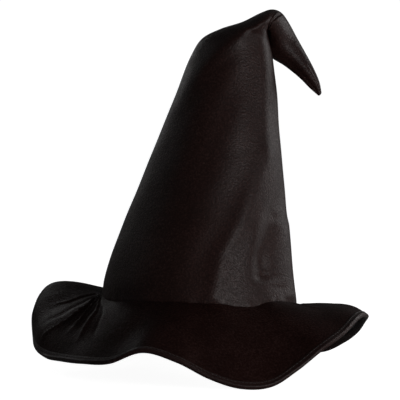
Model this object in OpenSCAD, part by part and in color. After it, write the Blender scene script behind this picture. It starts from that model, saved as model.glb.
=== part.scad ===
// Witch hat: a soft leaning velvet cone with a folded tip, on a wavy wired brim.
// Millimetres. +Z is up, -Y is the front, +X is the side the crown leans and the tip falls to.
// The origin is the centre of the head opening, in the plane of the seam between crown and brim.

/* [Head opening] */
// Radius of the round opening, for a 58 cm head
head_r = 92.31; // [88:0.01:94]
// Height of the sweatband
sweatband_h = 24; // [16:0.5:30]
// Thickness of the sweatband
sweatband_t = 0.8; // [0.5:0.1:1.2]

/* [Cloth layers] */
// Thickness of the velvet
velvet_t = 0.8; // [0.4:0.1:1.2]
// Thickness of the stiff interlining in the crown
interlining_t = 1.0; // [0.6:0.1:1.4]
// Thickness of the satin lining
satin_t = 0.4; // [0.3:0.1:0.6]
// Thickness of the foam core of the brim
core_t = 1.0; // [0.6:0.1:1.6]
// Air left between two layers
layer_gap = 0.2; // [0.2:0.05:0.4]

/* [Brim hem] */
// Depth of the folded hem binding, measured in from the edge
hem_d = 8; // [6:0.5:12]
// Thickness of the binding
binding_t = 0.6; // [0.4:0.1:0.9]
// Radius of the wire in the hem
wire_r = 0.7; // [0.5:0.1:0.8]
// Radius of the sewing thread
thread_r = 0.3; // [0.2:0.05:0.4]

/* [Labels] */
// Width of the size label as an angle round the crown
size_label_a = 12; // [6:1:20]
// Width of the care label as an angle round the crown
care_label_a = 18; // [10:1:26]
// Thickness of a woven label
label_t = 0.35; // [0.3:0.05:0.5]

/* [Show] */
// The one part to show, or all of them

/* [Hidden] */

// Stations of the crown, bottom to fold: left x, z, right x, z, half depth, centre y.
CROWN = [
  [-100,   0, 100,   0, 100,  0],
  [ -99,  20,  97,  20,  98,  0],
  [ -91,  48,  94,  46,  92,  0],
  [ -79,  78,  92,  76,  85,  0],
  [ -68, 106,  89, 102,  78,  0],
  [ -41, 172,  83, 165,  62,  0],
  [ -21, 222,  79, 218,  49,  0],
  [  -8, 253,  76, 248,  42,  0],
  [   3, 270,  73, 263,  39,  0],
  [  22, 280,  71, 272,  38,  1],
  [  44, 287,  70, 276,  38,  2],
  [  62, 296,  70, 278,  36,  4],
  [  74, 300,  70, 278,  32,  7],
  [  80, 299,  70, 277,  29,  9]
];

// Stations of the fallen tip, fold to point, laid out in the same way.
TIP = [
  [ 83, 298,  73, 277,  27, 11],
  [ 92, 287,  73, 267,  22, 17],
  [101, 271,  77, 252,  17, 20],
  [110, 255,  89, 241,  12, 20],
  [118, 240, 103, 230,   8, 19],
  [124, 226, 114, 219,   5, 18],
  [126, 216, 122, 212,   2, 17]
];

// Stations round the brim: angle, edge radius, edge height, slope at the seam, slope at the edge.
// Angle 0 points right, 90 to the back, 180 left and 270 to the front.
BRIM = [
  [  0, 173, -20, -12,  -66],
  [  8, 174, -26, -16,  -60],
  [ 18, 176, -39, -26,  -52],
  [ 28, 177, -52, -34,  -52],
  [ 40, 176, -66, -32,  -58],
  [ 55, 176, -69, -26,  -58],
  [ 75, 178, -66, -20,  -55],
  [ 95, 180, -65, -18,  -53],
  [115, 178, -69, -14,  -58],
  [130, 180, -56,   0,  -62],
  [145, 182, -20,  25,  -65],
  [158, 177,  -2,  30,  -85],
  [170, 174, -18,  26, -100],
  [182, 169, -40,   8, -102],
  [192, 168, -49,  -6,  -90],
  [202, 166, -53, -14,  -72],
  [214, 167, -52, -20,  -55],
  [228, 173, -50, -22,  -45],
  [240, 177, -47, -20,  -38],
  [252, 179, -34, -14,  -25],
  [263, 179, -43, -16,  -35],
  [273, 178, -59, -22,  -46],
  [283, 178, -69, -26,  -52],
  [293, 180, -68, -26,  -50],
  [302, 182, -53, -20,  -38],
  [310, 186, -36, -12,  -30],
  [320, 184, -24,  -8,  -24],
  [333, 179, -10,  -4,  -20],
  [346, 174, -10,  -6,  -40]
];

crown_sides = 44;         // points round a crown station
tip_sides = 28;           // points round a tip station
brim_sides = 90;          // points round the brim
ring_fn = 180;            // facets asked of the true round rings
brim_r = 101.2;           // radius where the brim starts at the seam
curl = 0.36;              // length of the slope arms of the brim profile, as a share of its width
layer_rows = 6;           // rows of the brim between seam and hem
layer_end = 3.6;          // the layers stop this far inside the edge
wire_d = 2.1;             // the wire lies this far inside the edge
wire_n = 0.2;             // and this far above the middle of the brim
lining_end = 7;           // crown station where the lining closes
interlining_end = 8;      // crown station where the interlining stops
label_gap = 0.5;          // air between a label and the lining
step = 0.5;               // stations between two rings of the crown
last = len(CROWN) - 1;
tip_last = len(TIP) - 1;

velvet = [0.10, 0.09, 0.09];
satin = [0.16, 0.15, 0.17];
grey = [0.55, 0.55, 0.55];
steel = [0.70, 0.70, 0.72];
white = [0.92, 0.92, 0.90];

// Depths of the crown layers, from the outside in.
interlining_in = velvet_t + layer_gap;
lining_in = interlining_in + interlining_t + layer_gap;
label_in = lining_in + satin_t + label_gap;

// Heights of the brim layers about its middle.
core_top = core_t / 2;
top_low = core_top + layer_gap;
top_high = top_low + velvet_t;
under_high = -core_top - layer_gap;
under_low = under_high - satin_t;

// ---------- curves ----------

// A smooth curve through four neighbouring rows, at share f between the middle two.
function through(a, b, c, d, f) =
  0.5 * (2 * b + (c - a) * f + (2 * a - 5 * b + 4 * c - d) * f * f
  + (3 * b - a - 3 * c + d) * f * f * f);

// A row of a table of even stations, read at any place t.
function read(table, t) =
  let (
    n = len(table) - 1,
    i = max(0, min(n - 1, floor(t)))
  )
  through(table[max(0, i - 1)], table[i], table[i + 1], table[min(n, i + 2)], t - i);

// A point of a crown or tip station at angle u, drawn in by a depth.
function cone_point(table, t, u, depth) =
  let (
    row = read(table, t),
    half = [row[2] - row[0], row[3] - row[1]] / 2,
    arm = half * (1 - depth / norm(half))
  )
  [
    (row[0] + row[2]) / 2 + arm[0] * cos(u),
    row[5] + (row[4] - depth) * sin(u),
    (row[1] + row[3]) / 2 + arm[1] * cos(u)
  ];

// A closed ring of such points.
function cone_ring(table, t, depth, sides) =
  [for (k = [0 : sides - 1]) cone_point(table, t, 360 * k / sides, depth)];

// The brim table with a turn added before and after, so that it reads all the way round.
AROUND = concat(
  [for (row = BRIM) row - [360, 0, 0, 0, 0]],
  BRIM,
  [for (row = BRIM) row + [360, 0, 0, 0, 0]]
);

function before(a, i = 0) = AROUND[i + 1][0] > a ? i : before(a, i + 1);

// The brim row at any angle: a smooth curve through uneven stations.
function brim_row(a) =
  let (
    i = before(a),
    p = AROUND[i - 1],
    q = AROUND[i],
    r = AROUND[i + 1],
    s = AROUND[i + 2],
    w = r[0] - q[0],
    f = (a - q[0]) / w,
    m = (r - p) * w / (r[0] - p[0]),
    n = (s - q) * w / (s[0] - q[0])
  )
  q * (2 * f * f * f - 3 * f * f + 1) + m * (f * f * f - 2 * f * f + f)
  + r * (3 * f * f - 2 * f * f * f) + n * (f * f * f - f * f);

// The four points that steer the brim profile, as radius and height.
function arms(row) =
  let (k = curl * norm([row[1] - brim_r, row[2]]))
  [
    [brim_r, 0],
    [brim_r + k * cos(row[3]), k * sin(row[3])],
    [row[1] - k * cos(row[4]), row[2] - k * sin(row[4])],
    [row[1], row[2]]
  ];

// A point of the brim at angle a and share s of its width, raised by n square to the profile.
function brim_point(a, s, n) =
  let (
    v = arms(brim_row(a)),
    q = 1 - s,
    at = v[0] * q * q * q + v[1] * 3 * q * q * s + v[2] * 3 * q * s * s + v[3] * s * s * s,
    way = (v[1] - v[0]) * q * q + (v[2] - v[1]) * 2 * q * s + (v[3] - v[2]) * s * s,
    up = [-way[1], way[0]] / norm(way),
    r = at[0] + up[0] * n
  )
  [r * cos(a), r * sin(a), at[1] + up[1] * n];

// The share of the width that lies a distance d inside the edge.
function inside(a, d) =
  let (row = brim_row(a))
  1 - d / (3 * curl * norm([row[1] - brim_r, row[2]]));

// Ring number j round the brim. The last lies at the end of the layers, and the one before it
// where the hem binding ends, so that the layers and the binding bend alike.
function brim_ring(j, n) =
  [for (k = [0 : brim_sides - 1])
    let (a = 360 * k / brim_sides)
    brim_point(a, j == layer_rows ? inside(a, layer_end) : j / (layer_rows - 1) * inside(a, hem_d), n)];

// ---------- solids ----------

// A solid skin over a row of closed rings. It is capped at both ends, or joined end to start.
// Where the rings come back over themselves from ring number turn on, the walls there are split
// along their other diagonal. Layers with matching rings are then split alike and stay clear.
module skin(rings, joined, turn = undef) {
  count = len(rings);
  sides = len(rings[0]);
  spans = joined ? count : count - 1;
  walls = [for (j = [0 : spans - 1], k = [0 : sides - 1], half = [0, 1])
    let (
      a = j * sides + k,
      b = j * sides + (k + 1) % sides,
      c = ((j + 1) % count) * sides + k,
      d = ((j + 1) % count) * sides + (k + 1) % sides
    )
    turn != undef && j >= turn
      ? (half == 0 ? [a, c, b] : [b, c, d])
      : (half == 0 ? [a, d, b] : [a, c, d])];
  start = [for (k = [0 : sides - 1]) k];
  finish = [for (k = [sides - 1 : -1 : 0]) (count - 1) * sides + k];
  polyhedron([for (ring = rings) each ring], joined ? walls : concat(walls, [start, finish]));
}

// An open sleeve of cloth between two depths of the crown.
module sleeve(table, from, to, sides, outer, thick) {
  back = [for (t = [to : -step : from]) cone_ring(table, t, outer + thick, sides)];
  out = [for (t = [from : step : to]) cone_ring(table, t, outer, sides)];
  skin(concat(back, out), true, len(back));
}

// A cup of cloth, closed at its far end.
module cup(table, from, to, sides, outer, thick, short) {
  hollow = concat(
    [cone_ring(table, to - short, outer + thick, sides)],
    [for (t = [to - step : -step : from]) cone_ring(table, t, outer + thick, sides)]
  );
  out = [for (t = [from : step : to]) cone_ring(table, t, outer, sides)];
  skin(concat(hollow, out), false, len(hollow));
}

// A layer of the brim between two heights about its middle.
module brim_layer(low, high) {
  over = [for (j = [0 : layer_rows]) brim_ring(j, high)];
  under = [for (j = [layer_rows : -1 : 0]) brim_ring(j, low)];
  skin(concat(under, over), true, len(under));
}

// A patch laid on the crown between two angles and two stations.
module patch(from_a, to_a, from_t, to_t, rows, cols, depth, thick) {
  rings = [for (j = [0 : rows])
    let (t = from_t + (to_t - from_t) * j / rows)
    concat(
      [for (k = [0 : cols]) cone_point(CROWN, t, from_a + (to_a - from_a) * k / cols, depth)],
      [for (k = [cols : -1 : 0])
        cone_point(CROWN, t, from_a + (to_a - from_a) * k / cols, depth + thick)]
    )];
  skin(rings, false);
}

// A round cord that follows the brim a distance inside the edge.
module cord(from_a, to_a, count, d, n, radius, sides, joined) {
  rings = [for (k = [0 : joined ? count - 1 : count])
    let (a = from_a + (to_a - from_a) * k / count)
    [for (c = [0 : sides - 1])
      brim_point(a, inside(a, d + radius * cos(360 * c / sides)), n + radius * sin(360 * c / sides))
    ]];
  skin(rings, joined);
}

// ---------- parts ----------

// Velvet cone, open at the seam and at the fold.
module crown_shell() {
  color(velvet)
  sleeve(CROWN, 0, last, crown_sides, 0, velvet_t);
}

// Stiff interlining that holds the cone up.
module crown_interlining() {
  color(grey)
  sleeve(CROWN, 0, interlining_end, crown_sides, interlining_in, interlining_t);
}

// Satin lining, closed at the top of the head space.
module crown_lining() {
  color(satin)
  cup(CROWN, 0, lining_end, crown_sides, lining_in, satin_t, step / 4);
}

// Lapped seam up the back of the cone.
module crown_back_seam() {
  lap_from = 88;
  lap_to = 92;
  lap_t = 0.6;
  color(velvet)
  patch(lap_from, lap_to, 0.2, 11, 22, 2, -layer_gap - lap_t, lap_t);
}

// Velvet top of the brim.
module brim_top() {
  color(velvet)
  brim_layer(top_low, top_high);
}

// Thin foam that stiffens the brim.
module brim_core() {
  color(grey)
  brim_layer(-core_top, core_top);
}

// Satin underside of the brim.
module brim_underside() {
  color(satin)
  brim_layer(under_low, under_high);
}

// Spring wire in the hem, cut at the back.
module brim_wire() {
  cut_a = 0.15;
  color(steel)
  cord(90 + cut_a, 450 - cut_a, brim_sides, wire_d, wire_n, wire_r, 6, false);
}

// Crimped sleeve over the two ends of the wire.
module wire_joiner() {
  reach_a = 2.4;
  bore = 0.15;
  wall = 0.25;
  parts = 6;
  sides = 8;
  rings = [for (side = [0, 1], k = [0 : parts])
    let (
      a = 90 - reach_a + 2 * reach_a * (side == 0 ? k : parts - k) / parts,
      radius = wire_r + bore + (side == 0 ? wall : 0)
    )
    [for (c = [0 : sides - 1])
      brim_point(a, inside(a, wire_d + radius * cos(360 * c / sides)),
        wire_n + radius * sin(360 * c / sides))]];
  color(steel)
  skin(rings, true);
}

// Folded velvet strip that closes the edge of the brim over the wire.
module brim_binding() {
  t = binding_t;
  high = top_high + layer_gap;
  low = under_low - layer_gap;
  bend = 0.9;
  fold = [
    [hem_d, high], [hem_d, high + t], [t + bend, high + t], [t * 0.3, high - bend / 2],
    [0, (high + low) / 2], [t * 0.3, low + bend / 2], [t + bend, low - t], [hem_d, low - t],
    [hem_d, low], [t + bend, low], [t, (high + low) / 2], [t + bend, high]
  ];
  rings = [for (k = [0 : brim_sides - 1])
    let (a = 360 * k / brim_sides)
    [for (p = fold) brim_point(a, inside(a, p[0]), p[1])]];
  color(velvet)
  skin(rings, true);
}

// Line of stitches that holds the binding down.
module brim_topstitch() {
  n = top_high + layer_gap + binding_t + layer_gap + thread_r;
  color(velvet)
  cord(0, 360, brim_sides, hem_d - 1.5, n, thread_r, 4, true);
}

// Band that sits on the head.
module sweatband() {
  drop = 2.2;
  color(satin)
  translate([0, 0, -drop])
  difference() {
    cylinder(h = sweatband_h, r = head_r + sweatband_t, $fn = ring_fn);
    translate([0, 0, -1])
    cylinder(h = sweatband_h + 2, r = head_r, $fn = ring_fn);
  }
}

// Thread that holds the sweatband to the seam tape.
module sweatband_stitching() {
  color(velvet)
  translate([0, 0, -1.2])
  rotate_extrude($fn = ring_fn)
  translate([head_r + sweatband_t + layer_gap + thread_r, 0])
  circle(r = thread_r, $fn = 24);
}

// Cotton tape under the seam of crown, brim and sweatband.
module seam_tape() {
  tape_low = -2.2;
  tape_t = 2.1;
  tape_in = head_r + sweatband_t + 2 * layer_gap + 2 * thread_r;
  tape_out = 100;
  color(white)
  translate([0, 0, tape_low])
  difference() {
    cylinder(h = tape_t, r = tape_out, $fn = ring_fn);
    translate([0, 0, -1])
    cylinder(h = tape_t + 2, r = tape_in, $fn = ring_fn);
  }
}

// Blank size label sewn to the lining above the sweatband.
module size_label() {
  color(white)
  patch(78, 78 + size_label_a, 1.3, 1.75, 3, 4, label_in, label_t);
}

// Blank care label beside it.
module care_label() {
  color(white)
  patch(94, 94 + care_label_a, 1.3, 2.3, 4, 5, label_in, label_t);
}

// Velvet of the fallen tip.
module tip_shell() {
  color(velvet)
  cup(TIP, 0, tip_last, tip_sides, 0, velvet_t, step / 2);
}

// Wadding that keeps the tip round.
module tip_filling() {
  rings = [for (t = [step : step : tip_last - step])
    cone_ring(TIP, t, velvet_t + layer_gap, tip_sides)];
  color(white)
  skin(rings, false, 0);
}

crown_shell();
crown_interlining();
crown_lining();
crown_back_seam();
brim_top();
brim_core();
brim_underside();
brim_wire();
wire_joiner();
brim_binding();
brim_topstitch();
sweatband();
sweatband_stitching();
seam_tape();
size_label();
care_label();
tip_shell();
tip_filling();
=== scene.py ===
"""A soft velvet witch hat: a leaning cone with a fallen tip on a wavy, wired brim.

Lengths in the formulas are millimetres and become metres when a mesh is made.
+Z is up, -Y is the front, and +X is the side the cone leans to.
"""

import math

import bpy
import numpy as np
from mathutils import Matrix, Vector


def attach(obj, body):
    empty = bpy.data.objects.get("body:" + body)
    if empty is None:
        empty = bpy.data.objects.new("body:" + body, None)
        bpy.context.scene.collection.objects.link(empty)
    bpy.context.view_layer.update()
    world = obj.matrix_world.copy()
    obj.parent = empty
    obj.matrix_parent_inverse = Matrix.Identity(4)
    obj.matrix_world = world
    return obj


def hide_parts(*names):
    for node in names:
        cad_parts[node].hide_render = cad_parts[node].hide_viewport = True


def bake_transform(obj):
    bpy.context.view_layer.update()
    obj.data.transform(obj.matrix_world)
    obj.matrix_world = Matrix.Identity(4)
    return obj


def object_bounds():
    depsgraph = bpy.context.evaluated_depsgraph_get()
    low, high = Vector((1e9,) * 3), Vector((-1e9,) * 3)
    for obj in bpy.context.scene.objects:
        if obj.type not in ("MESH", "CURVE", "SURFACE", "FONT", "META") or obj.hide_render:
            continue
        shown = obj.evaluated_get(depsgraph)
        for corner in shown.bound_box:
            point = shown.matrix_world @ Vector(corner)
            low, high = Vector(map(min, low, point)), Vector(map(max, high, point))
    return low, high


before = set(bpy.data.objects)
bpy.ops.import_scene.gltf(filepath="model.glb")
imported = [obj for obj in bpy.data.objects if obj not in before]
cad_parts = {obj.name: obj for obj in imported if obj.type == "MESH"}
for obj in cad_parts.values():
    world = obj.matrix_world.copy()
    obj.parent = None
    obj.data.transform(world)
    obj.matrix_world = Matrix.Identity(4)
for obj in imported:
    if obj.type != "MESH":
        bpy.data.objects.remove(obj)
cad_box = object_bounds()

MM = 0.001
TURN = 2 * math.pi

# ---------- pattern tables ----------

# Stations of the cone, seam to point: left x, z, right x, z, half depth, centre y.
CONE = [
    [-100, 0, 100, 0, 100, 0],
    [-99, 20, 97, 20, 98, 0],
    [-91, 48, 94, 46, 92, 0],
    [-79, 78, 92, 76, 85, 0],
    [-68, 106, 89, 102, 78, 0],
    [-41, 172, 83, 165, 62, 0],
    [-21, 222, 79, 218, 49, 0],
    [-8, 253, 76, 248, 42, 0],
    [3, 270, 73, 263, 39, 0],
    [22, 280, 71, 272, 38, 1],
    [44, 287, 70, 276, 38, 2],
    [62, 296, 70, 278, 36, 4],
    [74, 300, 70, 278, 32, 7],
    [84, 297, 70, 275, 27, 11],
    [92, 287, 71, 265, 22, 16],
    [101, 271, 73, 252, 17, 21],
    [110, 255, 88, 242, 12, 21],
    [118, 240, 103, 230, 8, 19],
    [124, 226, 114, 219, 5, 18],
    [126, 216, 122, 212, 2, 17],
]
TIP_END = len(CONE) - 1

# Stations round the brim: angle, edge radius, edge height, slope at the seam, slope at the edge.
BRIM = [
    [0, 173, -20, -18, -62],
    [8, 174, -26, -20, -58],
    [18, 176, -39, -26, -52],
    [28, 177, -52, -34, -52],
    [40, 176, -66, -32, -58],
    [55, 176, -69, -26, -58],
    [75, 178, -66, -20, -55],
    [95, 180, -65, -18, -53],
    [115, 178, -69, -14, -58],
    [130, 180, -56, 0, -62],
    [145, 182, -20, 25, -65],
    [158, 177, -2, 30, -85],
    [170, 174, -18, 26, -100],
    [182, 169, -40, 8, -102],
    [192, 168, -49, -6, -90],
    [202, 166, -53, -14, -72],
    [214, 167, -52, -20, -55],
    [228, 173, -50, -22, -45],
    [240, 177, -47, -20, -38],
    [252, 179, -34, -14, -25],
    [263, 179, -43, -16, -35],
    [273, 178, -59, -22, -46],
    [283, 178, -69, -26, -52],
    [293, 180, -68, -26, -50],
    [302, 182, -53, -20, -38],
    [310, 186, -36, -12, -30],
    [320, 184, -24, -8, -24],
    [333, 179, -11, -8, -18],
    [346, 174, -12, -13, -34],
]
BRIM_R = 101.2
CURL = 0.36

# Height of the seam line above its plane, round the brim: angle, height.
SEAM = [
    [0, -5.5],
    [14, -6.5],
    [34, -1.5],
    [55, 0],
    [120, 0],
    [165, 1.5],
    [184, 5],
    [198, 2.4],
    [210, 2.2],
    [232, 5.0],
    [257, 6.2],
    [269, 4.8],
    [281, 4.0],
    [293, 0.6],
    [303, 0.2],
    [313, 3.6],
    [324, 3.2],
    [338, 0],
    [350, -4],
]

# Creases of the left lobe: height, width, where each ends, then shares of the width and the angle at each.
CREASES = [
    [1.8, 2.2, 0.62, (0, 0.08, 0.16, 0.34, 0.57), (184, 178, 180, 182, 178)],
    [-1.0, 4.6, 0.80, (0, 0.08, 0.2, 0.46, 0.7), (183, 185, 190, 192, 188)],
    [2.9, 2.0, 0.90, (0, 0.08, 0.2, 0.46, 0.62, 0.77), (184, 190, 197.5, 200, 198.5, 195)],
    [-1.3, 2.0, 0.66, (0, 0.09, 0.2, 0.4, 0.53), (184.5, 192.5, 199.5, 203.5, 204)],
    [2.4, 1.9, 0.70, (0, 0.09, 0.2, 0.4, 0.53), (185, 195, 201.5, 207, 208)],
    [-1.0, 2.2, 0.70, (0, 0.1, 0.2, 0.42, 0.6), (187, 200, 206, 210.5, 212)],
    [2.0, 2.1, 0.80, (0, 0.12, 0.23, 0.43, 0.67), (188, 204, 210.5, 214, 217)],
    [-0.8, 3.4, 0.74, (0, 0.12, 0.23, 0.43, 0.67), (190, 209, 216, 221, 225)],
]

HEAD_R = 92.31

# How deep each layer of the cone lies inside its outer face: its own outer and inner face.
VELVET_T = 0.8
INTERLINING = (1.0, 2.0)
LINING = (2.25, 2.65)
LABEL_DEPTH = 3.75

# Upper and lower face of each layer of the brim, about its middle, and how far inside the edge they end.
BRIM_TOP = (1.5, 0.7)
BRIM_CORE = (0.5, -0.5)
BRIM_UNDER = (-0.7, -1.1)
LAYER_END = 3.6

# The wire and the stitches of the hem: distance inside the edge, height above the middle of the brim.
WIRE_D, WIRE_N, WIRE_R = 2.1, 0.2, 0.7
STITCH_D, STITCH_N = 6.2, 2.22
HEM_STITCHES = 295

# The crease of the fold: its station on the inner side, and how many stations later it is on the outer side.
CREASE_T = 12.02
CREASE_SLANT = 1.02
# The cone's velvet ends and the tip's begins this far past the bottom of the crease.
CREASE_CUT = 0.06

# ---------- curves ----------


def through_rows(table, t):
    """Rows of an evenly numbered table read at places t, on a curve that goes through every row.

    Between two rows it is the cubic whose slope at each row is half the step between its neighbours.
    """
    table = np.asarray(table, float)
    last = len(table) - 1
    i = np.clip(np.floor(t).astype(int), 0, last - 1)
    f = (np.asarray(t) - i)[..., None]
    a = table[np.clip(i - 1, 0, last)]
    b = table[i]
    c = table[i + 1]
    d = table[np.clip(i + 2, 0, last)]
    return 0.5 * (
        2 * b
        + (c - a) * f
        + (2 * a - 5 * b + 4 * c - d) * f**2
        + (3 * b - a - 3 * c + d) * f**3
    )


def round_rows(table, angle):
    """Values of a table of [angle, values...] read all the way round, on a smooth closed curve."""
    table = np.asarray(table, float)
    count = len(table)
    at = np.mod(angle, 360.0)
    i = np.searchsorted(table[:, 0], at, side="right") - 1

    def place(j):
        return table[j % count, 0] + 360.0 * np.floor_divide(j, count)

    def value(j):
        return table[j % count, 1:]

    p0, p1, p2, p3 = (place(i + k) for k in (-1, 0, 1, 2))
    v0, v1, v2, v3 = (value(i + k) for k in (-1, 0, 1, 2))
    w = (p2 - p1)[..., None]
    f = ((at - p1) / (p2 - p1))[..., None]
    m1 = (v2 - v0) * w / (p2 - p0)[..., None]
    m2 = (v3 - v1) * w / (p3 - p1)[..., None]
    return (
        (2 * f**3 - 3 * f**2 + 1) * v1
        + (f**3 - 2 * f**2 + f) * m1
        + (3 * f**2 - 2 * f**3) * v2
        + (f**3 - f**2) * m2
    )


def hill(x, width):
    """A rounded hill, 1 at x = 0 and falling to 0 over a few widths: exp of minus x over width, squared."""
    return np.exp(-((np.asarray(x) / width) ** 2))


def ramp(x, low, high):
    """0 below low, 1 above high, and a smooth rise between."""
    f = np.clip((np.asarray(x) - low) / (high - low), 0, 1)
    return f * f * (3 - 2 * f)


def off_angle(angle, centre):
    """The signed difference of two angles in degrees, between -180 and 180."""
    return (np.asarray(angle) - centre + 180.0) % 360.0 - 180.0


def near_line(x, z, p, q, width, fade=8.0):
    """A soft band along the straight line from p to q in the front view, fading past its ends."""
    dx, dz = q[0] - p[0], q[1] - p[1]
    size = math.hypot(dx, dz)
    along = ((x - p[0]) * dx + (z - p[1]) * dz) / size
    across = ((x - p[0]) * dz - (z - p[1]) * dx) / size
    past = np.maximum(np.maximum(-along, along - size), 0)
    return hill(across, width) * hill(past, fade)


def near_path(x, z, corners, width, fade):
    """A soft band along a path of straight lines in the front view: the nearest line's band counts."""
    bands = [near_line(x, z, p, q, width, fade) for p, q in zip(corners[:-1], corners[1:])]
    return np.max(bands, axis=0)


# ---------- the two cloth surfaces ----------


def unit(v):
    """Vectors made one long, along the last axis."""
    return v / np.linalg.norm(v, axis=-1, keepdims=True)


def seam_height(angle):
    """How far the seam line stands above its plane at an angle in degrees."""
    return round_rows(SEAM, angle)[..., 0]


def cone_plain(t, u, depth):
    """An ellipse at each station: its arm leans in the front view and its depth runs front to back."""
    row = through_rows(CONE, t)
    half_x = (row[..., 2] - row[..., 0]) / 2
    half_z = (row[..., 3] - row[..., 1]) / 2
    share = 1 - depth / np.hypot(half_x, half_z)
    return np.stack(
        [
            (row[..., 0] + row[..., 2]) / 2 + half_x * share * np.cos(u),
            row[..., 5] + (row[..., 4] - depth) * np.sin(u),
            (row[..., 1] + row[..., 3]) / 2 + half_z * share * np.cos(u),
        ],
        -1,
    )


def crease_station(u):
    """The station of the fold's crease at each angle: it runs slantwise, later on the outer side."""
    return CREASE_T + CREASE_SLANT * (1 - np.cos(u)) / 2


def cone_folds(t, u):
    """How far the cloth of the cone stands out, in millimetres: soft hollows, ridges, dimples and pleats."""
    p = cone_plain(t, u, 0.0)
    x, z = p[..., 0], p[..., 2]
    angle = np.degrees(u) % 360
    front = ramp(-np.sin(u), -0.15, 0.35)
    back = ramp(np.sin(u), -0.15, 0.35)
    body = ramp(t, 0.0, 0.6) * (1 - ramp(t, 11.5, 12.5))
    out = 0.0
    # a long soft fold that wanders down the front from the right edge, with a hollow each side of it
    out = out + front * (
        2.8 * near_path(x, z, [(66, 150), (51, 112), (40, 84), (22, 54), (14, 14)], 9, 14)
        - 0.7 * near_path(x, z, [(44, 150), (30, 112), (18, 84), (0, 50), (-10, 20)], 12, 20)
        - 5.4 * near_path(x, z, [(84, 140), (79, 108), (70, 74), (64, 50), (65, 34)], 9, 7)
        * (1 - ramp(z, 62, 138))
        + 3.0 * near_path(x, z, [(90, 78), (91, 40), (93, 10)], 8, 8)
    )
    # dimples over the seam and beside the hollow
    out = out + front * (
        0.8 * near_line(x, z, (62, 35), (74, 34), 1.8, 4)
        - 0.7 * near_line(x, z, (62, 30), (76, 29), 2.4, 5)
        - 0.5 * near_line(x, z, (74, 19), (84, 17), 2.6, 4)
        - 0.5 * near_line(x, z, (79, 88), (86, 84), 3.0, 4)
        + 0.4 * near_line(x, z, (80, 94), (87, 91), 2.8, 4)
    )
    # the shoulder: a broad fold from the top left down the outline, and the drag lines to the crease
    out = out + front * (
        2.0 * near_path(x, z, [(38, 270), (23, 258), (5, 242), (-7, 226), (-20, 200)], 8, 14)
        - 1.0 * near_line(x, z, (60, 272), (6, 150), 12, 24)
        + 1.4 * near_line(x, z, (66, 268), (67, 158), 6, 12)
        - 0.5 * near_line(x, z, (54, 262), (52, 160), 9, 14)
        + 0.35 * near_line(x, z, (68, 274), (36, 286), 2.0, 4)
        - 0.35 * near_line(x, z, (68, 270), (30, 276), 2.6, 5)
    )
    # the back hangs in two soft vertical folds and draws in along its seam
    seam = off_angle(angle, 90)
    out = out + back * (
        1.2 * hill(off_angle(angle, 55 + 1.5 * t), 11)
        - 1.0 * hill(off_angle(angle, 122 - 1.2 * t), 12)
        + 0.8 * hill(off_angle(angle, 145 - t), 9)
    )
    out = out - 0.5 * hill(seam, 5) * (1 - ramp(t, 10.5, 11.5))
    beside = hill(np.abs(seam) - 5, 3.5) * ramp(z, 4, 20) * (1 - ramp(z, 240, 262))
    out = out + 0.16 * np.sin(z / 9 * TURN) * beside
    # slow waves of the whole cloth, and small puckers just over the seam
    out = out + 0.5 * np.sin(3 * u + 0.021 * z) * np.sin(z / 61 * math.pi + 0.6)
    out = out + 0.28 * np.sin(7 * u - 0.05 * z + 1.1) * np.sin(z / 43 * math.pi)
    out = out * body
    low = hill(np.maximum(t, 0) - 0.28, 0.26)
    out = out + low * (0.5 + 0.25 * np.sin(23 * u) * np.sin(5 * u + 0.8) + 0.2 * np.sin(41 * u + 1.0))
    # the crease of the fold: a crisp pleat, a narrow valley and a soft second pleat
    past = t - crease_station(u)
    mask = ramp(off_angle(angle, 275), -82, -40) * (1 - ramp(off_angle(angle, 275), 66, 92))
    pleat = 1.6 * hill(past + 0.20, 0.14) - 1.5 * hill(past - 0.06, 0.13) + 0.9 * hill(past - 0.34, 0.13)
    out = out + mask * pleat
    rear = ramp(off_angle(angle, 90), -80, -40) * (1 - ramp(off_angle(angle, 90), 40, 80))
    fold = 0.8 * hill(past + 0.25, 0.2) - 1.3 * hill(past - 0.05, 0.2) + 0.7 * hill(past - 0.4, 0.2)
    out = out + rear * fold
    # the tip: one long soft ridge down its middle, a hollow beside it and a faint seam
    tip = ramp(t, 13.2, 14.2) * (1 - ramp(t, 18.2, 19))
    out = out + tip * (
        0.9 * hill(off_angle(angle, 268 - 3 * (t - 14)), 20)
        - 1.0 * hill(off_angle(angle, 310 - 2 * (t - 14)), 18)
        + 0.5 * hill(off_angle(angle, 225), 14) * np.sin(2.1 * t)
        - 0.25 * hill(off_angle(angle, 90), 6)
    )
    return out


def cone_point(t, u, depth=0.0, folds=1.0):
    """A point of the cone at station t and angle u, drawn in by a depth, with its folds and its wavy foot."""
    t, u = np.broadcast_arrays(np.asarray(t, float), np.asarray(u, float))
    p = cone_plain(t, u, depth - folds * cone_folds(t, u))
    foot = np.clip(1 - t / 1.6, 0, None) ** 2
    p[..., 2] += seam_height(np.degrees(u)) * foot * folds
    return p


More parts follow.
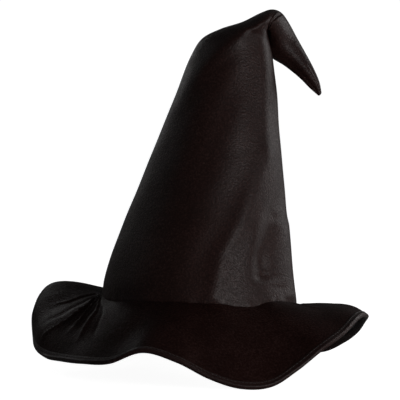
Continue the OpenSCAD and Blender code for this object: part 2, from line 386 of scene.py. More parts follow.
def brim_folds(angle, s):
    """How far the cloth of the brim stands up: creases fanning over the left lobe, ripples and drag lines."""
    out = 0.0
    # creases that start together at the seam on the left and fan out over the lobe
    for height, width, finish, shares, angles in CREASES:
        line = np.interp(s, shares, angles)
        away = off_angle(angle, line) * math.pi / 180 * (100 + 75 * s)
        ends = ramp(s, -0.02, 0.06) * (1 - ramp(s, finish - 0.3, finish))
        out = out + height * hill(away, width * (0.5 + 0.9 * s)) * ends
    # a full soft swell low on the lobe
    out = out + 1.6 * hill(off_angle(angle, 201), 13) * hill(s - 0.72, 0.17)
    # short drag lines on the right, from the seam outwards
    for at, height in ((349, 1.5), (356, -1.2), (3, 1.6), (341, -1.2), (333, 0.9), (12, -0.8)):
        away = off_angle(angle, at) * math.pi / 180 * (100 + 75 * s)
        out = out + height * hill(away, 2.6 + 4 * s) * ramp(s, -0.02, 0.08) * (1 - ramp(s, 0.2, 0.55))
    # the back ripples gently
    back = ramp(np.sin(np.radians(angle)), 0.1, 0.6)
    out = out + back * (
        0.9 * np.sin(np.radians(angle) * 11 + 0.7) * ramp(s, 0.0, 0.25) * (1 - ramp(s, 0.55, 0.95))
        + 0.8 * hill(off_angle(angle, 72), 4) * (1 - ramp(s, 0.1, 0.6)) * ramp(s, -0.02, 0.1)
        - 0.7 * hill(off_angle(angle, 108), 5) * (1 - ramp(s, 0.1, 0.7)) * ramp(s, -0.02, 0.1)
    )
    # the front stays smooth, with slow waves and small puckers in front of the hem
    out = out + 0.35 * np.sin(np.radians(angle) * 17 + 3 * s) * hill(s - 0.5, 0.3)
    puckers = np.sin(np.radians(angle) * 151) * (0.5 + 0.5 * np.sin(np.radians(angle) * 13 + 1))
    out = out + 0.10 * puckers * hill(s - 0.88, 0.05)
    return out


def brim_point(angle, s, n=0.0, folds=1.0):
    """A point of the brim at an angle in degrees and share s of its width, raised n square to its profile.

    The profile is a cubic from the seam to the edge, steered by the slope at each end.
    """
    angle, s = np.broadcast_arrays(np.asarray(angle, float), np.asarray(s, float))
    row = round_rows(BRIM, angle)
    edge_r, edge_z = row[..., 0], row[..., 1]
    first, final = np.radians(row[..., 2]), np.radians(row[..., 3])
    k = CURL * np.hypot(edge_r - BRIM_R, edge_z)
    r0, z0 = np.full_like(k, BRIM_R), np.zeros_like(k)
    r1, z1 = BRIM_R + k * np.cos(first), k * np.sin(first)
    r2, z2 = edge_r - k * np.cos(final), edge_z - k * np.sin(final)
    q = 1 - s
    w0, w1, w2, w3 = q**3, 3 * q**2 * s, 3 * q * s**2, s**3
    r = w0 * r0 + w1 * r1 + w2 * r2 + w3 * edge_r
    z = w0 * z0 + w1 * z1 + w2 * z2 + w3 * edge_z
    dr = q**2 * (r1 - r0) + 2 * q * s * (r2 - r1) + s**2 * (edge_r - r2)
    dz = q**2 * (z1 - z0) + 2 * q * s * (z2 - z1) + s**2 * (edge_z - z2)
    size = np.hypot(dr, dz)
    n = n + folds * brim_folds(angle, s)
    r = r - dz / size * n
    z = z + dr / size * n + seam_height(angle) * np.clip(1 - s / 0.8, 0, None) ** 2.5
    a = np.radians(angle)
    return np.stack([r * np.cos(a), r * np.sin(a), z], -1)


def inside_edge(angle, d):
    """The share of the brim's width that lies d millimetres inside its edge."""
    row = round_rows(BRIM, angle)
    return 1 - d / (3 * CURL * np.hypot(row[..., 0] - BRIM_R, row[..., 1]))


# ---------- meshes ----------


def finish_mesh(name, points, quads, tris, uv_quads, uv_tris):
    """A mesh object from arrays: points in millimetres, quads and triangles with a cloth map in metres."""
    mesh = bpy.data.meshes.new(name)
    mesh.vertices.add(len(points))
    mesh.vertices.foreach_set("co", (points * MM).astype(np.float32).ravel())
    loops = np.concatenate([quads.ravel(), tris.ravel()]).astype(np.int32)
    starts = np.concatenate([np.arange(len(quads)) * 4, len(quads) * 4 + np.arange(len(tris)) * 3])
    mesh.loops.add(len(loops))
    mesh.loops.foreach_set("vertex_index", loops)
    mesh.polygons.add(len(quads) + len(tris))
    mesh.polygons.foreach_set("loop_start", starts.astype(np.int32))
    mesh.polygons.foreach_set("use_smooth", np.ones(len(quads) + len(tris), bool))
    layer = mesh.uv_layers.new(name="cloth")
    uv = np.concatenate([uv_quads.reshape(-1, 2), uv_tris.reshape(-1, 2)])
    layer.data.foreach_set("uv", uv.astype(np.float32).ravel())
    mesh.update(calc_edges=True)
    mesh.validate()
    made = bpy.data.objects.new(name, mesh)
    bpy.context.scene.collection.objects.link(made)
    return made


def surface(name, p, joined=False):
    """A closed skin over rows of rings p[row, place, xyz].

    The rows are joined end to start, or each end is closed by a fan to its middle. The cloth map runs
    round the rings and along the rows, in metres.
    """
    rows, places = p.shape[:2]
    spans = rows if joined else rows - 1
    j, i = np.meshgrid(np.arange(spans), np.arange(places), indexing="ij")
    a = j * places + i
    b = j * places + (i + 1) % places
    c = ((j + 1) % rows) * places + (i + 1) % places
    d = ((j + 1) % rows) * places + i
    quads = np.stack([a, b, c, d], -1).reshape(-1, 4)
    step = np.linalg.norm(np.roll(p, -1, 0) - p, axis=-1).mean(1)
    along = np.concatenate([[0], np.cumsum(step)]) * MM
    ring = np.linalg.norm(np.roll(p, -1, 1) - p, axis=-1).sum(1).mean() * MM
    u0, u1 = i / places * ring, (i + 1) / places * ring
    v0, v1 = along[j], along[j + 1]
    corners = [np.stack(corner, -1) for corner in ((u0, v0), (u1, v0), (u1, v1), (u0, v1))]
    uv = np.stack(corners, -2).reshape(-1, 4, 2)
    points = p.reshape(-1, 3)
    tris = np.zeros((0, 3), int)
    uv_tris = np.zeros((0, 3, 2))
    if not joined:
        k = np.arange(places)
        following = (k + 1) % places
        first, final = len(points), len(points) + 1
        points = np.concatenate([points, p[0].mean(0)[None], p[-1].mean(0)[None]])
        end = (rows - 1) * places
        tris = np.concatenate(
            [
                np.stack([np.full(places, first), following, k], -1),
                np.stack([np.full(places, final), end + k, end + following], -1),
            ]
        )
        uv_tris = points[tris][..., :2] * MM
    return finish_mesh(name, points, quads, tris, uv, uv_tris)


def volume_of(made):
    """Signed volume of a closed mesh: above zero when its faces point outwards."""
    mesh = made.data
    mesh.calc_loop_triangles()
    co = np.empty(len(mesh.vertices) * 3)
    mesh.vertices.foreach_get("co", co)
    tri = np.empty(len(mesh.loop_triangles) * 3, int)
    mesh.loop_triangles.foreach_get("vertices", tri)
    v = co.reshape(-1, 3)[tri.reshape(-1, 3)]
    return float(np.einsum("ij,ij->i", v[:, 0], np.cross(v[:, 1], v[:, 2])).sum() / 6)


def outwards(made):
    """Turns a closed mesh's faces round if they point inwards."""
    if volume_of(made) < 0:
        made.data.flip_normals()
    return made


def cloth(name, outer, inner):
    """A sheet of cloth: its outer rows, then its inner rows back to the start, joined at both edges."""
    return outwards(surface(name, np.concatenate([outer, inner[::-1]]), joined=True))


def pouch(name, outer, inner):
    """Cloth closed at its far end: the inner rows from the far end back, then the outer rows out."""
    return outwards(surface(name, np.concatenate([inner[::-1], outer])))


def spokes(x, y, sides):
    """Directions round a cord at each of its points, turning from x towards y."""
    c = np.arange(sides) / sides * TURN
    return np.cos(c)[:, None] * x[:, None] + np.sin(c)[:, None] * y[:, None]


def square_to(way, v):
    """Vectors v with what runs along the way taken out, made one long."""
    return unit(v - way * (way * v).sum(-1, keepdims=True))


def tube(name, path, radius, sides):
    """A round cord along a path of points."""
    way = unit(np.gradient(path, axis=0))
    x = square_to(way, np.array([0.0, 0.0, 1.0]))
    return outwards(surface(name, path[:, None] + radius * spokes(x, np.cross(way, x), sides)))


def stitches(name, start, finish, lift, radius, bow):
    """Short stitches from start to finish points: bowed capsules, up in the middle and sunk at the ends."""
    count = len(start)
    sides, rings = 6, 5
    f = np.linspace(0, 1, rings)
    height = bow * (1 - (2 * f - 1) ** 2) - 0.12
    size = radius * np.array([0.35, 0.9, 1.0, 0.9, 0.35])
    way = finish - start
    along = unit(way)
    up = square_to(along, lift)
    across = np.cross(along, up)
    centre = start[:, None] + way[:, None] * f[None, :, None] + up[:, None] * height[None, :, None]
    p = centre[:, :, None] + size[None, :, None, None] * spokes(across, up, sides)[:, None]
    points = p.reshape(-1, 3)
    j, i = np.meshgrid(np.arange(rings - 1), np.arange(sides), indexing="ij")
    low, high, after = j * sides, (j + 1) * sides, (i + 1) % sides
    quad = np.stack([low + i, low + after, high + after, high + i], -1).reshape(-1, 4)
    k = np.arange(1, sides - 1)
    end = (rings - 1) * sides
    cap = np.concatenate([np.stack([0 * k, k + 1, k], -1), np.stack([0 * k + end, end + k, end + k + 1], -1)])
    base = (np.arange(count) * rings * sides)[:, None, None]
    quads = (quad[None] + base).reshape(-1, 4)
    tris = (cap[None] + base).reshape(-1, 3)
    made = finish_mesh(name, points, quads, tris, points[quads][..., :2] * MM, points[tris][..., :2] * MM)
    return outwards(made)


# ---------- finishes ----------


def new_finish(name, colour, roughness):
    """A named material with its main shader and the tools to add nodes to it."""
    mat = bpy.data.materials.new(name)
    mat.use_nodes = True
    nodes, links = mat.node_tree.nodes, mat.node_tree.links
    shader = nodes["Principled BSDF"]
    shader.inputs["Base Color"].default_value = (*colour, 1)
    shader.inputs["Roughness"].default_value = roughness
    return mat, nodes, links, shader


def add_node(nodes, kind, **inputs):
    """A node of a kind, with some of its sockets set by name."""
    made = nodes.new(kind)
    for key, value in inputs.items():
        made.inputs[key.replace("_", " ")].default_value = value
    return made


def noise(nodes, links, vector, scale, detail=2.0, rough=0.5):
    """Noise texture read at a vector."""
    made = add_node(nodes, "ShaderNodeTexNoise", Scale=scale, Detail=detail, Roughness=rough)
    links.new(vector, made.inputs["Vector"])
    return made.outputs["Fac"]


def colour_ramp(nodes, links, fac, stops):
    """A colour ramp through stops of (place, colour)."""
    made = nodes.new("ShaderNodeValToRGB")
    elements = made.color_ramp.elements
    while len(elements) < len(stops):
        elements.new(0.5)
    for element, (place, colour) in zip(elements, stops):
        element.position = place
        element.color = (*colour, 1)
    links.new(fac, made.inputs["Fac"])
    return made.outputs["Color"]


def blend_value(nodes, links, kind, a, b):
    """A sum, product or other blend of two values."""
    made = nodes.new("ShaderNodeMath")
    made.operation = kind
    for socket, value in zip(made.inputs, (a, b)):
        if isinstance(value, (int, float)):
            socket.default_value = value
        else:
            links.new(value, socket)
    return made.outputs[0]


def bump(nodes, links, shader, height, depth, strength=1.0, under=None):
    """Raises the shader's surface by a height map, depth metres from low to high."""
    made = add_node(nodes, "ShaderNodeBump", Strength=strength, Distance=depth)
    links.new(height, made.inputs["Height"])
    if under is not None:
        links.new(under, made.inputs["Normal"])
    links.new(made.outputs["Normal"], shader.inputs["Normal"])
    return made.outputs["Normal"]


def weave(nodes, links, vector, threads):
    """A plain weave: threads a metre each way, over and under, as the higher of two sets of waves."""
    split = nodes.new("ShaderNodeSeparateXYZ")
    links.new(vector, split.inputs[0])
    x = blend_value(nodes, links, "MULTIPLY", split.outputs[0], threads * math.pi)
    y = blend_value(nodes, links, "MULTIPLY", split.outputs[1], threads * math.pi)
    warp = blend_value(nodes, links, "ABSOLUTE", blend_value(nodes, links, "SINE", x, 0.0), 0.0)
    weft = blend_value(nodes, links, "ABSOLUTE", blend_value(nodes, links, "SINE", y, 0.0), 0.0)
    return blend_value(nodes, links, "MULTIPLY", warp, weft)


def scaled(nodes, links, value, times, plus):
    """A value times a number, plus a number or another value."""
    return blend_value(nodes, links, "ADD", blend_value(nodes, links, "MULTIPLY", value, times), plus)


def object_place(nodes):
    """The place on the object, in metres."""
    return nodes.new("ShaderNodeTexCoord").outputs["Object"]


def cloth_place(nodes):
    """The place on the flat cloth, in metres."""
    made = nodes.new("ShaderNodeUVMap")
    made.uv_map = "cloth"
    return made.outputs[0]


def colour_by(nodes, links, shader, fac, stops):
    """Colours the shader by a value, through stops of (place, colour)."""
    links.new(colour_ramp(nodes, links, fac, stops), shader.inputs["Base Color"])


def velvet_finish(name, gloss, sheen, tone=1.0):
    """Short black pile: a dark warm base, lighter where the pile is brushed, with a soft sheen at the edges.

    The pile is noise about two millimetres across, and the nap is slow noise over a few centimetres.
    Where the pile stands up the cloth is rougher and darker; where it lies down, smoother and lighter.
    """
    mat, nodes, links, shader = new_finish(name, (0.018, 0.008, 0.007), 0.5)
    where = object_place(nodes)
    pile = noise(nodes, links, where, 560.0, 2.0, 0.55)
    grain = noise(nodes, links, where, 1250.0, 2.0, 0.6)
    nap = noise(nodes, links, where, 24.0, 4.0, 0.6)
    mixed = scaled(nodes, links, pile, 0.7, blend_value(nodes, links, "MULTIPLY", nap, 0.3))
    # a tone below one darkens the whole colour: painted shade, used for the brim's copy of this velvet
    stops = [
        (0.34, (0.0085 * tone, 0.0022 * tone, 0.0016 * tone)),
        (0.50, (0.0160 * tone, 0.0055 * tone, 0.0044 * tone)),
        (0.66, (0.0340 * tone, 0.0160 * tone, 0.0140 * tone)),
    ]
    colour_by(nodes, links, shader, mixed, stops)
    rough = colour_ramp(nodes, links, mixed, [(0.38, (0.56,) * 3), (0.62, (0.40,) * 3)])
    links.new(rough, shader.inputs["Roughness"])
    shader.inputs["Specular IOR Level"].default_value = gloss
    shader.inputs["Sheen Weight"].default_value = sheen
    shader.inputs["Sheen Roughness"].default_value = 0.35
    shader.inputs["Sheen Tint"].default_value = (0.94, 0.88, 0.86, 1)
    low = bump(nodes, links, shader, pile, 0.0006, 1.0)
    bump(nodes, links, shader, grain, 0.00008, 0.8, low)
    return mat


def satin_finish():
    """Black satin: fine diagonal twill and a soft gloss."""
    mat, nodes, links, shader = new_finish("satin_lining", (0.012, 0.011, 0.012), 0.34)
    turned = add_node(nodes, "ShaderNodeMapping", Rotation=(0, 0, 0.9))
    links.new(cloth_place(nodes), turned.inputs[0])
    twill = weave(nodes, links, turned.outputs[0], 1500)
    where = object_place(nodes)
    uneven = noise(nodes, links, where, 90.0, 3.0, 0.55)
    colour_by(nodes, links, shader, uneven, [(0.3, (0.026, 0.024, 0.025)), (0.7, (0.056, 0.052, 0.054))])
    rough = scaled(nodes, links, uneven, 0.2, 0.26)
    links.new(rough, shader.inputs["Roughness"])
    shader.inputs["Specular IOR Level"].default_value = 0.5
    shader.inputs["Sheen Weight"].default_value = 0.25
    bump(nodes, links, shader, twill, 0.00012, 0.5)
    return mat


def woven_finish(name, dark, light, threads, roughness, depth, sheen=0.2):
    """Plain woven cloth: threads over and under each other, with uneven colour."""
    mat, nodes, links, shader = new_finish(name, light, roughness)
    pattern = weave(nodes, links, cloth_place(nodes), threads)
    where = object_place(nodes)
    uneven = noise(nodes, links, where, 160.0, 3.0, 0.6)
    mixed = scaled(nodes, links, pattern, 0.6, blend_value(nodes, links, "MULTIPLY", uneven, 0.4))
    colour_by(nodes, links, shader, mixed, [(0.15, dark), (0.7, light)])
    shader.inputs["Sheen Weight"].default_value = sheen
    bump(nodes, links, shader, pattern, depth, 0.8)
    return mat


def ribbed_finish():
    """Grosgrain ribbon: fine ribs across the band, black, with a slight gloss."""
    mat, nodes, links, shader = new_finish("ribbed_ribbon", (0.014, 0.013, 0.014), 0.5)
    split = nodes.new("ShaderNodeSeparateXYZ")
    links.new(cloth_place(nodes), split.inputs[0])
    place = blend_value(nodes, links, "MULTIPLY", split.outputs[0], TURN * 800)
    ribs = blend_value(nodes, links, "SINE", place, 0.0)
    where = object_place(nodes)
    uneven = noise(nodes, links, where, 220.0, 2.0, 0.5)
    mixed = scaled(nodes, links, ribs, 0.2, uneven)
    colour_by(nodes, links, shader, mixed, [(0.25, (0.008, 0.007, 0.008)), (0.75, (0.026, 0.024, 0.026))])
    shader.inputs["Sheen Weight"].default_value = 0.25
    bump(nodes, links, shader, ribs, 0.00022, 0.9)
    return mat


def foam_finish():
    """Grey felted foam with fine open cells."""
    mat, nodes, links, shader = new_finish("thin_foam", (0.09, 0.09, 0.095), 0.95)
    where = object_place(nodes)
    cells = add_node(nodes, "ShaderNodeTexVoronoi", Scale=1400.0)
    links.new(where, cells.inputs["Vector"])
    stops = [(0.1, (0.04, 0.04, 0.045)), (0.6, (0.12, 0.12, 0.125))]
    colour_by(nodes, links, shader, cells.outputs["Distance"], stops)
    bump(nodes, links, shader, cells.outputs["Distance"], 0.0003, 0.7)
    return mat


def wadding_finish():
    """White loose fibre, soft and tangled."""
    mat, nodes, links, shader = new_finish("loose_wadding", (0.80, 0.79, 0.76), 1.0)
    where = object_place(nodes)
    fibre = noise(nodes, links, where, 420.0, 6.0, 0.75)
    colour_by(nodes, links, shader, fibre, [(0.3, (0.62, 0.60, 0.56)), (0.7, (0.88, 0.87, 0.84))])
    shader.inputs["Sheen Weight"].default_value = 0.6
    bump(nodes, links, shader, fibre, 0.0012, 0.8)
    return mat


def wire_finish():
    """Drawn steel wire with fine marks along it."""
    mat, nodes, links, shader = new_finish("spring_wire", (0.52, 0.52, 0.54), 0.3)
    shader.inputs["Metallic"].default_value = 1.0
    where = object_place(nodes)
    marks = noise(nodes, links, where, 900.0, 4.0, 0.7)
    rough = scaled(nodes, links, marks, 0.25, 0.2)
    links.new(rough, shader.inputs["Roughness"])
    colour_by(nodes, links, shader, marks, [(0.3, (0.40, 0.40, 0.42)), (0.7, (0.60, 0.60, 0.62))])
    bump(nodes, links, shader, marks, 0.00004, 0.4)
    return mat


def thread_finish():
    """Black twisted thread: a fine twist and a little gloss."""
    mat, nodes, links, shader = new_finish("twisted_thread", (0.016, 0.013, 0.013), 0.5)
    where = object_place(nodes)
    twist = noise(nodes, links, where, 3200.0, 2.0, 0.6)
    colour_by(nodes, links, shader, twist, [(0.3, (0.008, 0.006, 0.006)), (0.7, (0.032, 0.027, 0.026))])
    shader.inputs["Sheen Weight"].default_value = 0.3
    bump(nodes, links, shader, twist, 0.00012, 0.7)
    return mat


VELVET = velvet_finish("velvet_pile", 0.20, 0.02)
# The brim's velvet is the cone's velvet with its colour darkened to four fifths, which is painted shade, and
# with less gloss and sheen.
BRIM_VELVET = velvet_finish("velvet_pile_brim_painted_shade", 0.06, 0.006, 0.8)
HEM_VELVET = velvet_finish("velvet_pile_folded", 0.22, 0.02)
SATIN = satin_finish()
BUCKRAM = woven_finish("stiff_open_weave", (0.30, 0.29, 0.26), (0.66, 0.64, 0.58), 500, 0.9, 0.00030, 0.1)
FOAM = foam_finish()
WIRE = wire_finish()
THREAD = thread_finish()
RIBBON = ribbed_finish()
TAPE = woven_finish("cotton_tape_weave", (0.48, 0.46, 0.41), (0.80, 0.78, 0.72), 900, 0.85, 0.00020)
LABEL = woven_finish("blank_label_satin", (0.66, 0.65, 0.62), (0.90, 0.90, 0.87), 2600, 0.45, 0.00006)
WADDING = wadding_finish()


def dress(made, finish, slot, body, *nodes):
    """Gives a piece its finish, the body it rides on and the nodes it stands for; slot is not used."""
    made.data.materials.append(finish)
    if nodes:
        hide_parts(*nodes)
    if body:
        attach(made, body)
    return made


# ---------- the cone ----------

CROWN_PLACES = 264
around = np.arange(CROWN_PLACES) / CROWN_PLACES * TURN


def all_round(stations):
    """A column of stations repeated at every place round the cone."""
    return np.repeat(np.asarray(stations)[:, None], CROWN_PLACES, 1)


def crease_rows(low, high, count):
    """Rows of stations that go evenly from one station or slant to another, at every place round."""
    return low + (high - low) * np.linspace(0, 1, count)[:, None]


def make_cone_velvet():
    """The velvet of the cone: its foot is turned in, and its top is tucked under the tip's edge."""
    foot = np.array([-0.004, -0.014, -0.010, 0.004, 0.022])
    foot_depth = np.array([1.0, 0.35, -0.20, -0.55, -0.30])
    low = np.concatenate([np.linspace(0.05, 8, 96), np.linspace(8.08, 11.0, 32)])
    crease = crease_station(around)[None, :] + CREASE_CUT
    high = crease_rows(11.0, crease, 46)[1:]
    tucked = np.concatenate([crease + 0.04, crease + 0.14])
    outer_t = np.concatenate([all_round(np.concatenate([foot, low])), high, tucked])
    outer_d = np.concatenate([foot_depth, np.zeros(len(low) + len(high)), [0.55, 1.0]])[:, None]
    outer = cone_point(outer_t, around[None, :], outer_d)
    inner_low = all_round(np.concatenate([np.linspace(0.02, 8, 28), np.linspace(8.3, 11, 8)]))
    inner_high = crease_rows(11.0, crease, 11)[1:]
    inner_high[-1:] += 0.12
    inner_d = np.concatenate([np.full(len(inner_low) + 9, VELVET_T), [1.8]])[:, None]
    inner = cone_point(np.concatenate([inner_low, inner_high]), around[None, :], inner_d)
    made = cloth("cone_velvet", outer, inner)
    return dress(made, VELVET, "velvet", "hat", "crown_shell")


cone_velvet = make_cone_velvet()


def make_tip_velvet():
    """The velvet of the tip, from the crease to its rounded point: its first ring sits on the cone's edge."""
    crease = crease_station(around)[None, :] + CREASE_CUT
    near_t = crease_rows(crease, 14.2, 26)
    far_t = all_round(np.linspace(14.3, TIP_END, 36))
    outer_t = np.concatenate([near_t[:1] - 0.01, near_t, far_t])
    outer_d = np.concatenate([[0.35, 0.05], np.zeros(len(outer_t) - 2)])[:, None]
    outer = cone_point(outer_t, around[None, :], outer_d)
    # the point is rounded off: the last ring shrinks by a quarter circle while it moves on
    turn = np.radians([20, 40, 58, 75])[:, None, None]
    middle = outer[-1].mean(0)
    onward = unit(middle - outer[-8].mean(0))
    end = middle + (outer[-1] - middle)[None] * np.cos(turn) + onward * 2.2 * np.sin(turn)
    outer = np.concatenate([outer, end])
    inner_far = all_round(np.linspace(14.6, TIP_END - 0.4, 12))
    inner_t = np.concatenate([crease_rows(crease, 14.2, 10), inner_far])
    inner = cone_point(inner_t, around[None, :], VELVET_T)
    made = pouch("tip_velvet", outer, inner)
    return dress(made, VELVET, "velvet", None, "tip_shell")


tip_velvet = make_tip_velvet()
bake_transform(tip_velvet)


def make_cone_interlining():
    """Stiff open-weave cloth just inside the velvet, up to the fold."""
    t = np.linspace(0.05, 8, 96)[:, None]
    outer, inner = (cone_point(t, around[None, :], depth) for depth in INTERLINING)
    made = cloth("cone_interlining", outer, inner)
    return dress(made, BUCKRAM, "interlining", "hat", "crown_interlining")


cone_interlining = make_cone_interlining()


def make_cone_lining():
    """Satin lining: soft upright gathers that lean inwards, closed by a gathered round at the top."""
    t = np.linspace(0.03, 7, 90)
    gather = 0.5 + 0.5 * np.sin(31 * around + 0.6 * np.sin(4 * around))
    gather = gather * (0.6 + 0.4 * np.sin(7 * around + 1))
    grow = ramp(t, 1.2, 3.0)[:, None]
    soft = 0.9 * gather[None, :] * grow
    outer, inner = (cone_point(t[:, None], around[None, :], depth + soft) for depth in LINING)
    share = np.linspace(0, 1, 14)[1:]
    close_d = (LINING[0] + share * 34)[:, None] + soft[-1][None, :] * (1 - share[:, None]) ** 2
    rise = 7 + 0.10 * np.sin(share * math.pi / 2)
    pleat = 0.6 * np.sin(31 * around)[None, :] * np.sin(share * math.pi)[:, None]
    top = cone_point(rise[:, None], around[None, :], close_d)
    top[..., 2] += pleat
    below = top.copy()
    below[..., 2] -= LINING[1] - LINING[0]
    made = pouch("cone_lining", np.concatenate([outer, top]), np.concatenate([inner, below]))
    return dress(made, SATIN, "satin", "hat", "crown_lining")


cone_lining = make_cone_lining()


# Outline of the back seam's section: share across its width, depth.
BACK_SEAM = [
    (0, -0.1), (0.04, -0.45), (0.15, -0.72), (0.35, -0.85), (0.6, -0.9), (0.85, -0.75),
    (0.96, -0.45), (1, -0.1), (0.75, 0.15), (0.5, 0.2), (0.25, 0.15),
]


def make_back_seam():
    """A lapped seam up the back: a low rounded strip that stands a little proud of the velvet."""
    t = np.linspace(0.12, 11.2, 150)
    share, depth = np.array(BACK_SEAM).T
    low, high = 88.2, 91.8
    u = np.radians(low + (high - low) * share)
    made = outwards(surface("back_seam", cone_point(t[:, None], u[None, :], depth[None, :])))
    return dress(made, VELVET, "velvet", "hat", "crown_back_seam")


back_seam = make_back_seam()

# ---------- the brim ----------

BRIM_PLACES = 432
degrees = np.arange(BRIM_PLACES) / BRIM_PLACES * 360.0


def brim_layer(name, shares, faces):
    """A layer of the brim between two faces, from the seam to a little inside the edge."""
    stop = inside_edge(degrees, LAYER_END)[None, :]
    high, low = (brim_point(degrees[None, :], shares[:, None] * stop, n) for n in faces)
    return cloth(name, high, low)


def make_brim_velvet():
    """Velvet top of the brim, from under the foot of the cone to under the hem."""
    s = np.concatenate([[-0.030, -0.02], np.linspace(-0.008, 1, 84)])
    made = brim_layer("brim_velvet", s, BRIM_TOP)
    return dress(made, BRIM_VELVET, "velvet", "hat", "brim_top")


brim_velvet = make_brim_velvet()


def make_brim_foam():
    """Thin foam between the two faces of the brim."""
    made = brim_layer("brim_foam", np.linspace(0.0, 1, 50), BRIM_CORE)
    return dress(made, FOAM, "foam", "hat", "brim_core")


brim_foam = make_brim_foam()


def make_brim_satin():
    """Satin underside of the brim."""
    made = brim_layer("brim_satin", np.linspace(0.0, 1, 80), BRIM_UNDER)
    return dress(made, SATIN, "satin", "hat", "brim_underside")


brim_satin = make_brim_satin()

# ---------- the hem ----------

HEM_PLACES = 720
hem_degrees = np.arange(HEM_PLACES) / HEM_PLACES * 360.0
# Outline of the hem's section: distance inside the edge, height above the middle of the brim.
HEM = [
    (8.0, 1.70), (7.9, 1.94), (7.3, 2.10), (6.4, 2.10), (5.6, 2.12), (4.8, 2.16), (4.1, 2.26), (3.5, 2.62),
    (2.9, 2.98), (2.3, 3.04), (1.7, 2.78), (1.2, 2.20), (0.7, 1.40), (0.32, 0.58), (0.10, -0.20),
    (0.40, -1.00), (1.2, -1.62),
    (2.2, -1.90), (3.5, -1.98), (5.2, -1.92), (7.0, -1.84), (8.0, -1.80), (8.1, -1.56), (7.9, -1.30),
    (6.0, -1.42), (4.0, -1.50), (2.4, -1.36), (1.4, -0.98), (0.95, -0.28), (1.20, 0.66), (1.8, 1.60),
    (2.5, 2.10), (3.3, 1.94), (4.4, 1.80), (5.4, 1.74), (6.6, 1.68), (7.6, 1.60),
]


def make_hem():
    """Velvet strip folded over the edge and its wire: a full roll that dips where it is stitched down."""
    section = np.array(HEM)
    a = np.radians(hem_degrees)
    full = 1 + 0.07 * np.sin(9 * a + 0.5) + 0.05 * np.sin(23 * a + 2.0)
    pucker = 0.10 * np.sin(a * HEM_STITCHES)
    d = np.broadcast_to(section[None, :, 0], (HEM_PLACES, len(section)))
    n = np.broadcast_to(section[None, :, 1], (HEM_PLACES, len(section))).copy()
    high = (n > 2.5) & (d < 4)
    n = np.where(high, n * full[:, None], n)
    n = n + pucker[:, None] * hill(d - STITCH_D, 1.2) * (n > 0)
    s = inside_edge(hem_degrees[:, None], d)
    rows = brim_point(hem_degrees[:, None], s, n)
    made = outwards(surface("hem_binding", rows, joined=True))
    return dress(made, HEM_VELVET, "velvet", "hat", "brim_binding")


hem_binding = make_hem()


def brim_up(angle, s):
    """The direction square to the brim's upper face, measured over a millimetre."""
    return unit(brim_point(angle, s, 1.0) - brim_point(angle, s, 0.0))


def make_hem_stitches():
    """A line of small stitches along the dip of the hem."""
    a0 = np.arange(HEM_STITCHES) / HEM_STITCHES * 360 + 0.15
    a1 = a0 + 360 / HEM_STITCHES * 0.78
    p, q = (brim_point(a, inside_edge(a, STITCH_D), STITCH_N) for a in (a0, a1))
    made = stitches("hem_stitches", p, q, brim_up(a0, inside_edge(a0, STITCH_D)), 0.24, 0.22)
    return dress(made, THREAD, "thread", "hat", "brim_topstitch")


make_hem_stitches()


def make_wire():
    """The spring wire in the hem: one turn, cut at the back."""
    a = 90 + np.linspace(0.15, 359.85, 720)
    made = tube("hem_wire", brim_point(a, inside_edge(a, WIRE_D), WIRE_N), WIRE_R, 10)
    return dress(made, WIRE, "wire", "hat", "brim_wire")


make_wire()


def make_joiner():
    """A thin sleeve over the two ends of the wire, pressed flat in two places."""
    a = np.linspace(87.6, 92.4, 49)
    path = brim_point(a, inside_edge(a, WIRE_D), WIRE_N)
    pinch = 1 - 0.10 * (hill(a - 88.8, 0.35) + hill(a - 91.2, 0.35))
    way = unit(np.gradient(path, axis=0))
    up = square_to(way, brim_up(a, inside_edge(a, WIRE_D)))
    spoke = pinch[:, None, None] * spokes(np.cross(way, up), up, 16)
    outer, inner = (path[:, None] + radius * spoke for radius in (1.12, 0.88))
    made = cloth("wire_sleeve", outer, inner)
    return dress(made, WIRE, "wire", "hat", "wire_joiner")


make_joiner()

# ---------- inside the opening ----------

BAND_PLACES = 360
band_angles = np.arange(BAND_PLACES) / BAND_PLACES * TURN


def round_rows_at(radii, heights, ripple):
    """Rings about the head opening at some radii and heights; ripple adds a small height round each."""
    r = np.asarray(radii, float)[:, None]
    z = np.asarray(heights, float)[:, None] + ripple
    c, s = np.cos(band_angles)[None, :], np.sin(band_angles)[None, :]
    return np.stack([r * c, r * s, z], -1)


def make_sweatband():
    """Ribbed ribbon round the opening, with a rolled edge top and bottom and faint waves along its top."""
    z = np.concatenate([[-2.2, -2.1, -1.6], np.linspace(-1.2, 20.6, 24), [21.2, 21.7, 21.8]])
    edge = np.zeros(len(z))
    edge[[0, -1]] = 0.25
    wave = np.sin(band_angles * 9)[None, :] * 0.25 * ramp(z, 12, 21)[:, None] * -1
    inner = round_rows_at(HEAD_R + 0.02 + edge, z, wave)
    outer = round_rows_at(HEAD_R + 0.78 - edge, z, wave)
    made = cloth("sweatband_ribbon", outer, inner)
    return dress(made, RIBBON, "grosgrain", "hat", "sweatband")


sweatband = make_sweatband()


def make_seam_tape():
    """Flat cotton tape behind the seam: its outer edge dips with the seam line."""
    ripple = 0.10 * np.sin(band_angles * 27)[None, :]
    r = [94.1, 94.4, 96, 98, 99.4, 99.9]
    share = (np.array(r)[:, None] - r[0]) / (r[-1] - r[0])
    dip = share * np.minimum(seam_height(np.degrees(band_angles)), 0)[None, :]
    low = round_rows_at(r, [-1.9, -2.15, -2.2, -2.2, -2.15, -1.9], ripple * 0.5 + dip)
    high = round_rows_at(r, [-0.5, -0.25, -0.2, -0.2, -0.25, -0.5], ripple + dip)
    made = cloth("seam_tape_cloth", high, low)
    return dress(made, TAPE, "cotton_tape", "hat", "seam_tape")


seam_tape = make_seam_tape()


